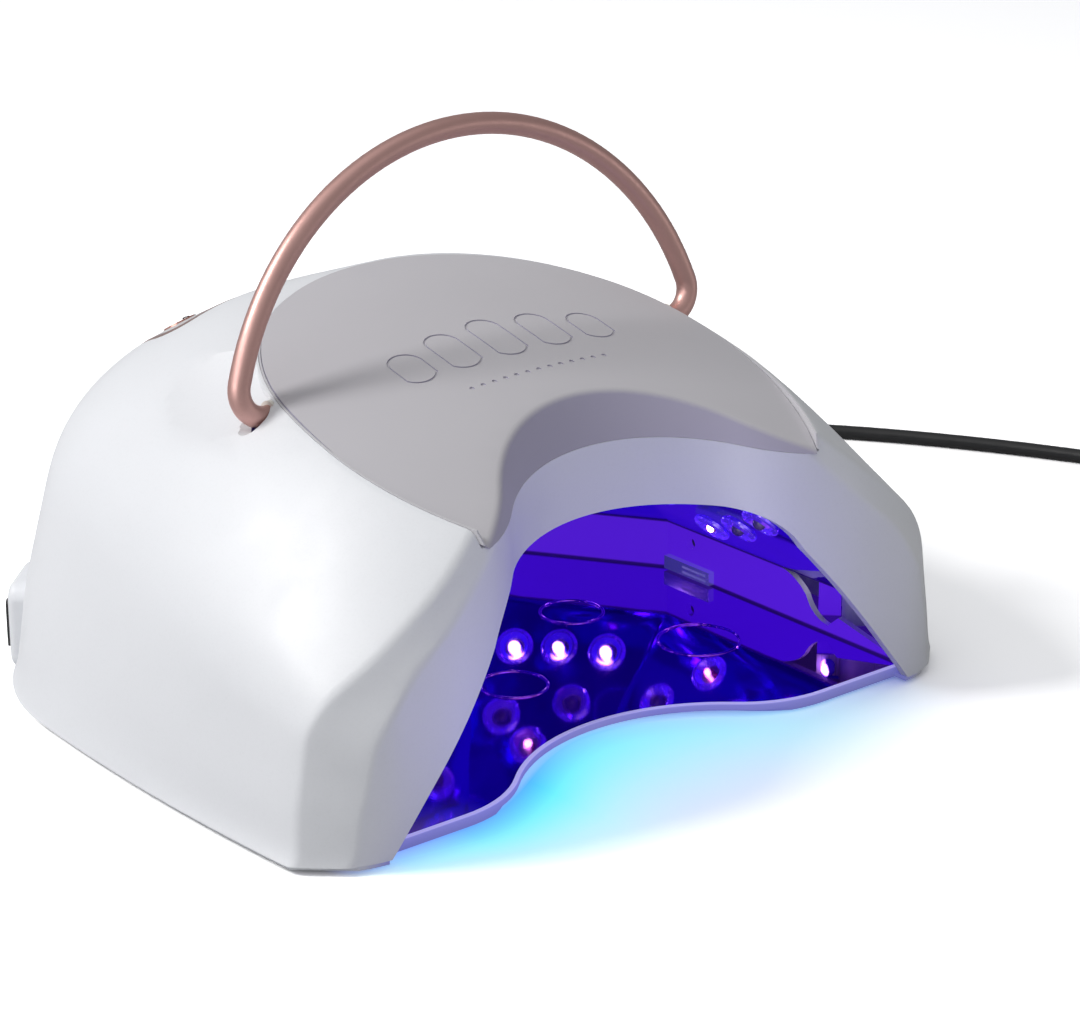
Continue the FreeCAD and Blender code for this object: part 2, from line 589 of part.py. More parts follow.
FRONT_LOW, FRONT_HIGH = V(SKIRT_X, 10.0, SKIRT_TOP), V(ROOF_CORNER.x, 42.0, CHAMBER_CEILING)
panels = {
    "side": (FRONT_LOW, at_height(SKIRT_CORNER, SKIRT_TOP), at_height(ROOF_CORNER, CHAMBER_CEILING),
             FRONT_HIGH),
    "corner": (at_height(SKIRT_CORNER, SKIRT_TOP), at_height(REAR_CORNER, SKIRT_TOP),
               at_height(ROOF_REAR, CHAMBER_CEILING), at_height(ROOF_CORNER, CHAMBER_CEILING)),
    "rear": (at_height(REAR_CORNER, SKIRT_TOP), left_of(at_height(REAR_CORNER, SKIRT_TOP)),
             left_of(at_height(ROOF_REAR, CHAMBER_CEILING)), at_height(ROOF_REAR, CHAMBER_CEILING)),
    "roof": (at_height(ROOF_CORNER, CHAMBER_CEILING), left_of(at_height(ROOF_CORNER, CHAMBER_CEILING)),
             left_of(FRONT_HIGH), FRONT_HIGH),
}


def panel_site(name, s, t):
    """Placement on a panel's mirror side, local Z into the room: s runs along its foot, t up it."""
    a, b, c, d = panels[name]
    low, high = a + (b - a) * s, d + (c - d) * s
    inward = (b - a).cross(d - a).normalize() * -1
    if inward.dot(V(0, 80, 20) - a) < 0:
        inward = inward * -1
    return frame_at(low + (high - low) * t, inward, b - a)


# Places of the lights: panel, share along its foot, share up it. The deep ones work out of sight.
UV_SITES = [("corner", 0.22, 0.22), ("corner", 0.5, 0.22), ("corner", 0.76, 0.24)]
DEEP_SITES = [("side", s, t) for s, t in ((0.2, 0.5), (0.48, 0.3), (0.5, 0.75), (0.84, 0.38),
                                          (0.8, 0.75))]
DEEP_SITES += [("corner", 0.32, 0.48), ("corner", 0.78, 0.58), ("rear", 0.3, 0.3), ("rear", 0.2, 0.85),
               ("roof", 0.2, 0.15), ("roof", 0.2, 0.5), ("roof", 0.2, 0.85)]
RED_SITES = [("side", 0.7, 0.17), ("corner", 0.54, 0.7)]
MIDDLE_SITES = [("rear", 0.5, 0.55), ("roof", 0.5, 0.35)]
LIT_SITES = UV_SITES + DEEP_SITES + RED_SITES


def light(size):
    """Round emitter package with its domed lens; the board is behind it."""
    base = cylinder(size, V(0, 0, -BOARD_GAP), UP, BOARD_GAP + 0.2)
    dome = Part.makeSphere(size, V(0, 0, 0.2), UP, 0, 90, 360)
    return base.fuse(dome).removeSplitter()


def bezel():
    """Ringed cup round a light, with a dished floor that ends close to the emitter package."""
    profile = [(3.25, -1.4), (4.1, -1.4), (4.1, 0.0), (6.2, 0.0), (6.1, 0.6), (5.3, 1.3), (4.7, 1.1),
               (4.0, 0.0), (3.25, -0.6), (3.25, -1.4)]
    face = Part.Face(Part.makePolygon([V(x, 0, z) for x, z in profile]))
    return face.revolve(V(0, 0, 0), UP, 360)


def spread(shape, sites, middles=()):
    """One copy at every site, one mirrored at the other side, and one at each middle site."""
    copies = []
    for site in sites:
        copy = placed(shape, panel_site(*site))
        copies += [copy, mirrored(copy)]
    return copies + [placed(shape, panel_site(*site)) for site in middles]


hole = cylinder(4.3, V(0, 0, -4), UP, 8)
chamber = chamber.cut(spread(hole, LIT_SITES, MIDDLE_SITES))
SENSOR_Y = 52.0
chamber = chamber.cut(cylinder(3.2, V(0, SENSOR_Y, 60), UP, 20))
magnet_spots = [V(side * x, y, 0) for x, y in ((108.5, 82.0), (80.0, 176.0)) for side in (-1, 1)]
HOOD_MAGNET = (5.0, 1.2)
chamber = chamber.cut([cylinder(HOOD_MAGNET[0] + 0.05, p + UP * (HOOD_BOTTOM + 0.3), UP, 1.4)
                       for p in magnet_spots])
chamber = chamber.cut([cylinder(1.3, V(side * x, y, 0), UP, 8) for x, y in CHAMBER_SCREWS
                       for side in (-1, 1)])
skirt_wall = (SKIRT_X - 1.0, SKIRT_X + MIRROR_WALL + 1.0)


def yz(y, z):
    return V(skirt_wall[0], y, z)


grip_edges = [Part.Arc(yz(60.0, 19.8), yz(53.5, 17.8), yz(48.4, 13.8)).toShape(),
              Part.Arc(yz(48.4, 13.8), yz(44.4, 8.9), yz(38.7, 6.8)).toShape()]
grip_edges += Part.makePolygon([yz(38.7, 6.8), yz(34.4, 10.6), yz(10.0, 5.4), yz(-14.0, 5.4),
                                yz(-14.0, 19.8), yz(60.0, 19.8)]).Edges
notch = Part.Face(Part.Wire(grip_edges)).extrude(RIGHT * (skirt_wall[1] - skirt_wall[0]))
latch_hole = cylinder(1.8, V(skirt_wall[0], 100.8, 15.4), RIGHT, skirt_wall[1] - skirt_wall[0])
for cutter in (notch, latch_hole):
    chamber = chamber.cut([cutter, mirrored(cutter)])
foot_place = frame_at(V(105.2, 44.8, 19.6), V(-1, -1, 0), UP)
FOOT_POST = 2.0                 # thickness of the post behind the foot light
back = -BOARD_GAP - BOARD_THICK
post = placed(box(-16.0, -3.5, back - FOOT_POST, 5.0, 3.5, back), foot_place)
chamber = chamber.fuse([post, mirrored(post)]).removeSplitter()
save("reflector", chamber)
save("hood_magnets", [cylinder(HOOD_MAGNET[0], p + UP * (HOOD_BOTTOM + 0.5), UP, HOOD_MAGNET[1])
                      for p in magnet_spots])
save("chamber_screws", [cylinder(1.1, V(side * x, y, HOOD_BOTTOM + 0.2), UP, 10).fuse(
    cylinder(2.6, V(side * x, y, HOOD_BOTTOM - 0.1), UP, 0.6)) for x, y in CHAMBER_SCREWS
    for side in (-1, 1)])
foot_light = placed(light(2.2), foot_place)
save("uv_leds", spread(light(2.2), UV_SITES) + [foot_light, mirrored(foot_light)])
save("deep_uv_leds", spread(light(2.2), DEEP_SITES, MIDDLE_SITES))
save("red_leds", spread(light(1.6), RED_SITES))
save("led_bezels", spread(bezel(), LIT_SITES, MIDDLE_SITES))


def board(name, inset=5.0):
    """Light board behind one panel."""
    corners = [panels[name][i] for i in range(4)]
    place = panel_site(name, 0.5, 0.5)
    back = place.inverse()
    flat = [back.multVec(p) for p in corners]
    middle = V(sum(p.x for p in flat) / 4, sum(p.y for p in flat) / 4, 0)
    local = []
    for p in flat:
        reach = V(p.x, p.y, 0) - middle
        local.append(middle + reach * (1 - inset / reach.Length))
    face = Part.Face(Part.makePolygon(local + local[:1]))
    face.translate(V(0, 0, -BOARD_GAP - BOARD_THICK))
    return placed(face.extrude(V(0, 0, BOARD_THICK)), place)


side_board, corner_board = board("side"), board("corner")
foot_board = placed(box(-3.5, -3.5, back, 3.5, 3.5, -BOARD_GAP), foot_place)
save("led_boards_side", [side_board, mirrored(side_board)])
save("foot_light_boards", [foot_board, mirrored(foot_board)])
save("led_boards_corner", [corner_board, mirrored(corner_board)])
save("led_board_rear", board("rear"))
save("led_board_roof", board("roof", 3.0))

# ---------------------------------------------------------------- heat spreader and sensor
PLATE_BOTTOM = CHAMBER_CEILING + BOARD_GAP + BOARD_THICK
spreader = box(-36, 56, PLATE_BOTTOM, 36, 98, PLATE_BOTTOM + 2)
fins = [box(x - 0.7, 58, PLATE_BOTTOM + 2, x + 0.7, 96, PLATE_BOTTOM + 10) for x in range(-32, 33, 8)]
save("heat_spreader", spreader.fuse(fins).removeSplitter())
save("hand_sensor", cylinder(3.1, V(0, SENSOR_Y, CHAMBER_CEILING - 1.2), UP, 1.2 + BOARD_GAP))
CATCH = dict(y0=90.0, y1=111.0, z0=4.7, z1=9.0, thick=2.2)
catch = box(SKIRT_X - CATCH["thick"], CATCH["y0"], CATCH["z0"], SKIRT_X, CATCH["y1"], CATCH["z1"])
catch = catch.cut([box(SKIRT_X - 3, CATCH["y0"] + 1.5, z, SKIRT_X - 0.6, CATCH["y0"] + 12.5, z + 0.8)
                   for z in (5.5, 7.2)])
save("tray_catches", [catch, mirrored(catch)])

# ---------------------------------------------------------------- tray
TRAY_BOTTOM = 0.9
TRAY_PLATE = HOOD_BOTTOM - 0.3
TRAY_GAP = 1.0
LOBE_X, LOBE_Y, DIP_Y, DIP_R = 66.0, 7.5, 33.0, 60.0


def tray_front():
    """Plan region in front of the tray's curved edge."""
    rise = DIP_Y - LOBE_Y
    total = (LOBE_X ** 2 + rise ** 2) / (2 * rise)
    lobe_r = total - DIP_R
    join_x = LOBE_X * DIP_R / total
    edges = [arc_xy(0, DIP_Y - DIP_R, DIP_R, -join_x, join_x, 1),
             arc_xy(LOBE_X, LOBE_Y + lobe_r, lobe_r, join_x, LOBE_X, -1),
             Part.makeLine(V(LOBE_X, LOBE_Y, 0), V(140, LOBE_Y, 0)),
             Part.makeLine(V(140, LOBE_Y, 0), V(140, -40, 0)),
             Part.makeLine(V(140, -40, 0), V(-140, -40, 0)),
             Part.makeLine(V(-140, -40, 0), V(-140, LOBE_Y, 0)),
             Part.makeLine(V(-140, LOBE_Y, 0), V(-LOBE_X, LOBE_Y, 0)),
             arc_xy(-LOBE_X, LOBE_Y + lobe_r, lobe_r, -LOBE_X, -join_x, -1)]
    return Part.Face(Part.Wire(Part.__sortEdges__(edges)))


def upright(face, z0, z1):
    copy = face.copy()
    copy.translate(V(0, 0, z0))
    return copy.extrude(V(0, 0, z1 - z0))


def floor_plan(grow):
    wire = chamber_ring(SKIRT_CORNER, REAR_CORNER, 0.0, grow)
    return Part.Face(wire)


front_cut = upright(tray_front(), -1, 10)
foot_plan = Part.Face(outline(dict(BOTTOM, h=0.0), 1.5))
plate = upright(foot_plan, TRAY_BOTTOM, TRAY_PLATE)
plate = plate.cut(upright(tray_front(), -1, 10).common(box(-96, -60, -5, 96, 60, 20))).cut(bay(1.0))
raised = upright(floor_plan(-TRAY_GAP), TRAY_PLATE - 0.2, TRAY_TOP).cut(front_cut)
tray = plate.fuse(raised).removeSplitter()
LIP = 1.3                       # width of the lip along the tray's front edge
SHEET = (TRAY_TOP - 0.9, TRAY_TOP - 0.1)
lip = upright(tray_front().makeOffset2D(LIP), -1, 10)
sheet = upright(floor_plan(-TRAY_GAP), *SHEET).cut(lip)
tray = tray.cut(upright(floor_plan(0.5), SHEET[0], TRAY_TOP + 1).cut(lip))
TRAY_MAGNET = (5.0, 0.9)
tray = tray.cut([cylinder(TRAY_MAGNET[0] + 0.05, p + UP * (TRAY_PLATE - TRAY_MAGNET[1]), UP, 3)
                 for p in magnet_spots])
save("base_tray", tray)
GUIDE_RINGS = [(-65.0, 60.0, 13.0), (65.0, 60.0, 13.0), (-50.0, 102.0, 10.3), (50.0, 102.0, 10.3),
               (0.0, 69.0, 10.5)]
RING_BEAD = 0.5
beads = [Part.makeTorus(r - RING_BEAD, RING_BEAD, V(x, y, SHEET[1]), UP) for x, y, r in GUIDE_RINGS]
save("mirror_floor", sheet.fuse(beads).removeSplitter())
save("tray_magnets", [cylinder(TRAY_MAGNET[0], p + UP * (TRAY_PLATE - TRAY_MAGNET[1]), UP,
                               TRAY_MAGNET[1] - 0.05) for p in magnet_spots])
pad_spots = [V(side * x, y, 0) for x, y in ((102.0, 24.0), (92.0, 165.0)) for side in (-1, 1)]
save("rubber_feet", [cylinder(6.0, spot, UP, TRAY_BOTTOM) for spot in pad_spots + [ORIGIN]])

# ---------------------------------------------------------------- rear control panel
panel_skin = skin(0.05).cut(panel_seat)
fascia_skin = skin(0.3).cut(panel_seat)
trim = panel_prism.cut(panel_inner).common(panel_skin)
save("panel_trim", trim)
fascia = placed(rounded_prism(pw - 2 * PANEL_BORDER - 0.1, ph - 2 * PANEL_BORDER - 0.1, 6.4, -14, 8),
                panel_place).common(fascia_skin)
fascia = fascia.cut(button_wells + [display_glass])
save("panel_fascia", fascia)
lens = placed(rounded_prism(DISPLAY_SIZE[0] + 3.9, DISPLAY_SIZE[1] + 3.9, 2.95, -14, 8), panel_place)
lens = lens.common(fascia_skin)
save("display_lens", lens)
PCB = 1.6
control = placed(rounded_prism(108.0, 28.0, 2.0, BOARD_TOP - PCB, BOARD_TOP), panel_place)
control = control.cut([placed(cylinder(1.2, V(x, y, -14), UP, 8), panel_place) for x, y in POSTS])
save("control_board", control)
save("display_module", placed(box(-16, -6, BOARD_TOP, 16, 6, -2.6), panel_place))
save("buzzer", placed(cylinder(4.5, V(12, 0, BOARD_TOP - PCB - 4), UP, 4), panel_place))
save("board_screws", [placed(cylinder(2.3, V(x, y, BOARD_TOP - PCB - 1.5), UP, 1.5).fuse(
    cylinder(0.95, V(x, y, BOARD_TOP - PCB), UP, 5)), panel_place) for x, y in POSTS])
BUTTON_TRAVEL = 0.7
BUTTON_FOOT = -3.5
PLUNGER_TOP = BUTTON_FOOT - BUTTON_TRAVEL - 0.05
cap_skin = skin(-0.3)
switches = []
for number, spot in enumerate(button_spots, start=1):
    cap = placed(cylinder(BUTTON_RADIUS, V(0, 0, BUTTON_FOOT), UP, 12), spot).common(cap_skin)
    cap = cap.fuse(placed(cylinder(BUTTON_RADIUS + 1.2, V(0, 0, BUTTON_FOOT), UP, 0.9), spot))
    save("timer_button_%d" % number, cap.removeSplitter())
    drop = panel_place.inverse().multVec(spot.Base)
    top = drop.z + PLUNGER_TOP
    body = box(drop.x - 3, drop.y - 3, BOARD_TOP, drop.x + 3, drop.y + 3, top - 0.8)
    plunger = cylinder(1.7, V(drop.x, drop.y, top - 1.0), UP, 1.0)
    switches.append(placed(body.fuse(plunger).removeSplitter(), panel_place))
save("tact_switches", switches)

# ---------------------------------------------------------------- power switch and jack
sh, sw = SWITCH_HOLE
ROCKER_AXIS_Z = -1.5
ROCKER_TILT = 7.0               # degrees from level; switched on at rest
ROCKER_PIN = dict(radius=0.9, reach=5.6)


def rocker_axis(radius, reach):
    return cylinder(radius, V(-reach, 0, ROCKER_AXIS_Z), RIGHT, 2 * reach)


switch = rounded_prism(sh + 3, sw + 3, 1.5, 0.0, 1.3).fuse(rounded_prism(sh, sw, 1.0, -16, 0.2))
switch = switch.cut(box(-sh / 2 + 1, -sw / 2 + 1, -7, sh / 2 - 1, sw / 2 - 1, 3)).removeSplitter()
switch = switch.cut(rocker_axis(ROCKER_PIN["radius"] + RUN, ROCKER_PIN["reach"] + 0.1))
save("switch_frame", placed(switch, boss_place))
save("switch_terminals", [placed(box(-2, y - 0.4, -22, 2, y + 0.4, -16), boss_place) for y in (-4, 4)])
rw, rh = sw / 2 - 1.7, sh / 2 - 1.25
rocker_profile = [V(0, -rw, -2.8), V(0, -rw, 2.0), V(0, 0, 1.3), V(0, rw, 2.0), V(0, rw, -2.8),
                  V(0, 1.5, -4.5), V(0, -1.5, -4.5), V(0, -rw, -2.8)]
rocker = Part.Face(Part.makePolygon(rocker_profile)).extrude(V(2 * rh, 0, 0))
rocker.translate(V(-rh, 0, 0))
rocker.rotate(V(0, 0, ROCKER_AXIS_Z), RIGHT, ROCKER_TILT)
rocker = rocker.fuse(rocker_axis(**ROCKER_PIN)).removeSplitter()
save("power_rocker", placed(rocker, boss_place))

JACK_BORE = 2.8
jack = cylinder(JACK_BODY, V(0, 0, -14), UP, 14 + JACK_PROUD).fuse(
    cylinder(8.5, V(0, 0, JACK_PROUD), UP, 1.4))
jack = jack.cut(cylinder(JACK_BORE, V(0, 0, -9), UP, 20)).fuse(cylinder(1.0, V(0, 0, -9.5), UP, 9))
save("dc_jack", placed(jack.removeSplitter(), jack_place))
hexagon = [V(NUT_RADIUS * math.cos(math.pi / 3 * i), NUT_RADIUS * math.sin(math.pi / 3 * i),
             NUT_TOP - NUT_THICK) for i in range(7)]
nut = Part.Face(Part.makePolygon(hexagon)).extrude(UP * NUT_THICK)
nut = nut.cut(cylinder(JACK_BODY + 0.02, V(0, 0, -20), UP, 30))
save("jack_nut", placed(nut, jack_place))
PLUG_FACE = JACK_PROUD + 1.5
sleeve = cylinder(JACK_BORE - RUN, V(0, 0, PLUG_FACE - 10.5), UP, 10.7).cut(
    cylinder(1.2, V(0, 0, PLUG_FACE - 11), UP, 10))
grip = cylinder(5.2, V(0, 0, PLUG_FACE), UP, 16)
grip = grip.makeChamfer(0.8, [e for e in grip.Edges if len(e.Vertexes) == 1])
neck = Part.makeCone(4.4, 2.9, 14, V(0, 0, PLUG_FACE + 16))
rings = [Part.makeTorus(4.3 - 0.45 * i, 0.55, V(0, 0, PLUG_FACE + 18 + 3.2 * i), UP) for i in range(4)]
cord_start = PLUG_FACE + 28
plug = sleeve.fuse([grip, neck] + rings).removeSplitter()
cord_points = [jack_place.multVec(V(0, 0, cord_start)), jack_place.multVec(V(0, 0, cord_start + 10)),
               V(38, 268, 10.5), V(51, 277, 6.2), V(66, 282.5, CORD_REST + 1.0),
               V(84, 285, CORD_REST + 0.1)]
cord_points += [V(x, y, CORD_REST) for x, y in ((120, 276), (184, 232), (240, 175), (264, 141),
                                                (285, 104), (303, 62))]


WIRE_RADIUS = 0.9


def tube(points, radius):
    """Round rod along a smooth curve through points."""
    curve = Part.BSplineCurve()
    curve.interpolate(points)
    path = Part.Wire([curve.toShape()])
    first = curve.tangent(curve.FirstParameter)[0]
    ring = Part.Wire([Part.makeCircle(radius, points[0], first)])
    return path.makePipeShell([ring], True, True)


cord = tube(cord_points, CORD_RADIUS)
save("power_cord", cord)
save("power_plug", placed(plug, jack_place).cut(cord))
wires = []
for i in range(3):
    end = panel_place.multVec(V(-12 + 3 * i, 9, BOARD_TOP - PCB - 1))
    start = jack_place.multVec(V(-3 + 3 * i, 0, -15))
    bends = [start + V(0, -8, 4), V(24 + 3 * i, 172, 52), end - panel_normal * 9]
    wires.append(tube([start] + bends + [end], WIRE_RADIUS))
save("wiring_loom", wires)

# ---------------------------------------------------------------- carrying handle
half_angle = (bend_angle - math.pi / 2) / 2
knuckle = (bend_x + HANDLE_BEND * math.cos(half_angle), HANDLE_BEND + HANDLE_BEND * math.sin(half_angle))
right_side = [Part.makeLine(in_handle(STUB_END, 0), in_handle(bend_x, 0)),
              Part.Arc(in_handle(bend_x, 0), in_handle(*knuckle), in_handle(*touch)).toShape()]
left_side = [mirrored(e) for e in right_side]
bow = Part.Arc(in_handle(*touch), in_handle(0, HANDLE_RISE), in_handle(-touch[0], touch[1])).toShape()
path = Part.Wire(Part.__sortEdges__(right_side + [bow] + left_side))
ring = Part.Wire([Part.makeCircle(ROD_RADIUS, in_handle(STUB_END, 0), RIGHT)])
handle = path.makePipeShell([ring], True, True)
for side in (-1, 1):
    groove = pivot_axis(side, 6, CLIP["x"], CLIP["x"] + CLIP["thick"] + 0.05)
    handle = handle.cut(groove.cut(pivot_axis(side, CLIP["groove"], 50, 70)))
save("carry_handle", handle)
save("handle_clips", [pivot_axis(side, CLIP["outer"], CLIP["x"], CLIP["x"] + CLIP["thick"]).cut(
    pivot_axis(side, CLIP["groove"], 50, 70)) for side in (-1, 1)])
save("handle_bushes", [pivot_axis(side, BUSH_RADIUS - 0.02, EAR["x0"], EAR["x1"]).cut(
    pivot_axis(side, ROD_RADIUS + RUN, 50, 90)) for side in (-1, 1)])
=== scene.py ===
"""UV LED nail lamp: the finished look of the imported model, in metres."""
import json
import math

import bpy
from mathutils import Matrix, Vector


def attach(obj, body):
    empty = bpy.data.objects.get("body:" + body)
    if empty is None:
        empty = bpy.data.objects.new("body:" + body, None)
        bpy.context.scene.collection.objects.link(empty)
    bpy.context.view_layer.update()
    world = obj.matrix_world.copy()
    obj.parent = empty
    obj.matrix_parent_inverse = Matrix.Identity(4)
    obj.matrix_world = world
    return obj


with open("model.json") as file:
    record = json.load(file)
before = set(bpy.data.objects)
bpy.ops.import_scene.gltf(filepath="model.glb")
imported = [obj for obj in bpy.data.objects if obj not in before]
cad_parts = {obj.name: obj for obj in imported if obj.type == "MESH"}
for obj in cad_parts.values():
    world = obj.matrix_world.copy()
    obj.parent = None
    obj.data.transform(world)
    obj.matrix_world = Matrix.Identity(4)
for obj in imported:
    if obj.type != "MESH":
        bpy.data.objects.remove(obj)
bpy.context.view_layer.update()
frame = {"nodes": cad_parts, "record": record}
nodes = frame["nodes"]
MM = 0.001
FEET = -0.100               # y of the front edge of the hood's feet


# ---------------------------------------------------------------- node-material builder
class Look:
    """One procedural material; positions are the row frame's metres."""

    def __init__(self, name):
        self.material = bpy.data.materials.new(name)
        self.material.use_nodes = True
        self.tree = self.material.node_tree
        self.shader = self.tree.nodes["Principled BSDF"]
        self.place = self.add("ShaderNodeTexCoord").outputs["Object"]

    def add(self, kind, **values):
        node = self.tree.nodes.new(kind)
        for key, value in values.items():
            setattr(node, key, value)
        return node

    def link(self, source, target):
        if hasattr(source, "node"):
            self.tree.links.new(source, target)
        else:
            target.default_value = source

    def set(self, **values):
        for key, value in values.items():
            self.link(value, self.shader.inputs[key.replace("_", " ")])
        return self

    def stretch(self, x, y, z):
        node = self.add("ShaderNodeMapping")
        self.link(self.place, node.inputs["Vector"])
        node.inputs["Scale"].default_value = (x, y, z)
        return node.outputs["Vector"]

    def noise(self, scale, detail=2.0, rough=0.5, place=None, distortion=0.0):
        node = self.add("ShaderNodeTexNoise")
        self.link(place or self.place, node.inputs["Vector"])
        node.inputs["Scale"].default_value = scale
        node.inputs["Detail"].default_value = detail
        node.inputs["Roughness"].default_value = rough
        node.inputs["Distortion"].default_value = distortion
        return node.outputs["Fac"]

    def cells(self, scale, feature="F1"):
        node = self.add("ShaderNodeTexVoronoi", feature=feature)
        self.link(self.place, node.inputs["Vector"])
        node.inputs["Scale"].default_value = scale
        return node.outputs["Distance"]

    def math(self, kind, a, b=0.0, c=0.0):
        node = self.add("ShaderNodeMath", operation=kind)
        for value, socket in zip((a, b, c), node.inputs):
            self.link(value, socket)
        return node.outputs[0]

    def spread(self, value, low, high, start=0.0, end=1.0):
        node = self.add("ShaderNodeMapRange")
        self.link(value, node.inputs["Value"])
        for key, number in (("From Min", start), ("From Max", end), ("To Min", low), ("To Max", high)):
            node.inputs[key].default_value = number
        return node.outputs["Result"]

    def ramp(self, value, *stops, mode="LINEAR"):
        node = self.add("ShaderNodeValToRGB")
        self.link(value, node.inputs["Fac"])
        node.color_ramp.interpolation = mode
        elements = node.color_ramp.elements
        while len(elements) < len(stops):
            elements.new(0.5)
        for element, (position, color) in zip(elements, stops):
            element.position = position
            element.color = (*color, 1.0)
        return node.outputs["Color"]

    def curve(self, value, *stops):
        """Number that follows straight lines between (position, value) stops."""
        return self.ramp(value, *[(position, (level,) * 3) for position, level in stops])

    def blend(self, a, b, share, kind="MIX"):
        node = self.add("ShaderNodeMix", data_type="RGBA", blend_type=kind)
        self.link(share, node.inputs[0])
        for value, socket in ((a, node.inputs[6]), (b, node.inputs[7])):
            self.link((*value, 1.0) if isinstance(value, tuple) else value, socket)
        return node.outputs[2]

    def bump(self, height, depth, strength=1.0, under=None):
        node = self.add("ShaderNodeBump")
        self.link(height, node.inputs["Height"])
        node.inputs["Distance"].default_value = depth
        node.inputs["Strength"].default_value = strength
        if under is not None:
            self.link(under, node.inputs["Normal"])
        return node.outputs["Normal"]

    def axis(self, name, vector=None):
        node = self.add("ShaderNodeSeparateXYZ")
        self.link(vector or self.place, node.inputs[0])
        return node.outputs[name]

    def vector(self, kind, a, b=None):
        node = self.add("ShaderNodeVectorMath", operation=kind)
        for value, socket in zip((a, b), node.inputs):
            if value is not None:
                self.link(value, socket)
        return node.outputs["Value" if kind == "DOT_PRODUCT" else "Vector"]

    def ray(self, kind):
        return self.add("ShaderNodeLightPath").outputs[kind]

    def normal(self):
        return self.add("ShaderNodeNewGeometry").outputs["Normal"]


def srgb(text):
    """Linear colour from a hex string."""
    parts = [int(text[i:i + 2], 16) / 255 for i in (0, 2, 4)]
    return tuple(c / 12.92 if c <= 0.04045 else ((c + 0.055) / 1.055) ** 2.4 for c in parts)


def shade(color, factor):
    return tuple(min(1.0, c * factor) for c in color)


def moulded(name, color, rough=0.4, grain=0.018, size=2600.0, coat=0.0, vary=0.05, **extra):
    """Injection-moulded plastic with a spark-eroded grain, faint flow marks and handling marks."""
    look = Look(name)
    cloud = look.noise(9.0, 3.0, 0.55)
    speck = look.noise(size * 0.5, 1.0)
    tone = look.ramp(cloud, (0.3, shade(color, 1 - vary)), (0.7, shade(color, 1 + vary * 0.6)))
    tone = look.blend(tone, shade(color, 0.8), look.spread(speck, 0.0, 0.10, 0.5, 0.8))
    fine = look.noise(size, 2.0, 0.6)
    pits = look.cells(size * 0.55)
    height = look.math("ADD", fine, look.math("MULTIPLY", pits, 0.6))
    normal = look.bump(height, grain * MM, 0.8)
    rub = look.noise(42.0, 4.0, 0.62)
    look.set(Base_Color=tone, Roughness=look.spread(rub, rough - 0.05, rough + 0.06, 0.3, 0.7),
             Normal=normal, Coat_Weight=coat, Coat_Roughness=0.25, **extra)
    return look.material


def metal(name, color, rough=0.3, brushed=(1, 1, 1), grain=0.012, vary=0.06):
    """Bare or plated metal with fine finishing marks along one direction."""
    look = Look(name)
    lines = look.noise(900.0, 3.0, 0.6, look.stretch(*brushed))
    cloud = look.noise(30.0, 3.0, 0.6)
    tone = look.ramp(cloud, (0.3, shade(color, 1 - vary)), (0.7, shade(color, 1 + vary)))
    look.set(Base_Color=tone, Metallic=1.0, Normal=look.bump(lines, grain * MM, 0.7),
             Roughness=look.spread(lines, rough - 0.06, rough + 0.08, 0.3, 0.7))
    return look.material


def rubber(name, color, rough=0.6):
    look = Look(name)
    fine = look.noise(1800.0, 3.0, 0.6)
    dust = look.noise(70.0, 4.0, 0.65)
    tone = look.blend(color, shade(color, 1.9), look.spread(dust, 0.0, 0.35, 0.5, 0.8))
    look.set(Base_Color=tone, Roughness=look.spread(dust, rough - 0.08, rough + 0.08, 0.3, 0.7),
             Normal=look.bump(fine, 0.02 * MM, 0.8))
    return look.material


def circuit(name, color, trace):
    """Solder mask with traces under it and a faint weave."""
    look = Look(name)
    tracks = look.add("ShaderNodeTexBrick")
    look.link(look.stretch(1, 1, 1), tracks.inputs["Vector"])
    tracks.inputs["Scale"].default_value = 160.0
    tracks.inputs["Color1"].default_value = (*color, 1)
    tracks.inputs["Color2"].default_value = (*shade(color, 0.9), 1)
    tracks.inputs["Mortar"].default_value = (*trace, 1)
    tracks.inputs["Mortar Size"].default_value = 0.02
    weave = look.noise(1500.0, 2.0)
    look.set(Base_Color=tracks.outputs["Color"], Roughness=look.spread(weave, 0.28, 0.42),
             Normal=look.bump(weave, 0.012 * MM, 0.6))
    return look.material


# ---------------------------------------------------------------- the lit chamber: lamp lenses and painted violet glow on its linings
# colour of the painted violet glow on the chamber's upright skirt
VIOLET = (0.080, 0.010, 0.62)


ROOM = (0.0, -0.02, 0.02)   # a point in the middle of the lit hand cavity
SKIRT_TOP = 0.0199          # height where the chamber's upright skirt ends


def facing_room(look):
    """Cosine between a face's normal and the way to ROOM: positive on faces that look into it."""
    inward = look.vector("NORMALIZE", look.vector("SUBTRACT", ROOM, look.place))
    return look.vector("DOT_PRODUCT", look.normal(), inward)


def lit_mirror(name, tint, glow, strength, rough=0.05, ripple=0.25, dark=0.35):
    """Metallised mirror that the violet light fills: reflections, soft ripples and patchy emission that is
    painted violet light.
    """
    look = Look(name)
    waves = look.noise(26.0, 2.0, 0.5, distortion=0.4)
    fine = look.noise(900.0, 2.0)
    normal = look.bump(fine, 0.004 * MM, 0.5, look.bump(waves, ripple * MM, 1.0))
    # painted violet light: emission in soft patches, dimmer where the noise is low
    patch = look.noise(14.0, 3.0, 0.6, distortion=0.8)
    light = look.ramp(patch, (0.32, shade(glow, dark)), (0.66, glow))
    look.set(Base_Color=(*tint, 1.0), Metallic=1.0, Normal=normal,
             Roughness=look.spread(patch, rough, rough + 0.05),
             Emission_Color=light, Emission_Strength=strength)
    return look, light, patch


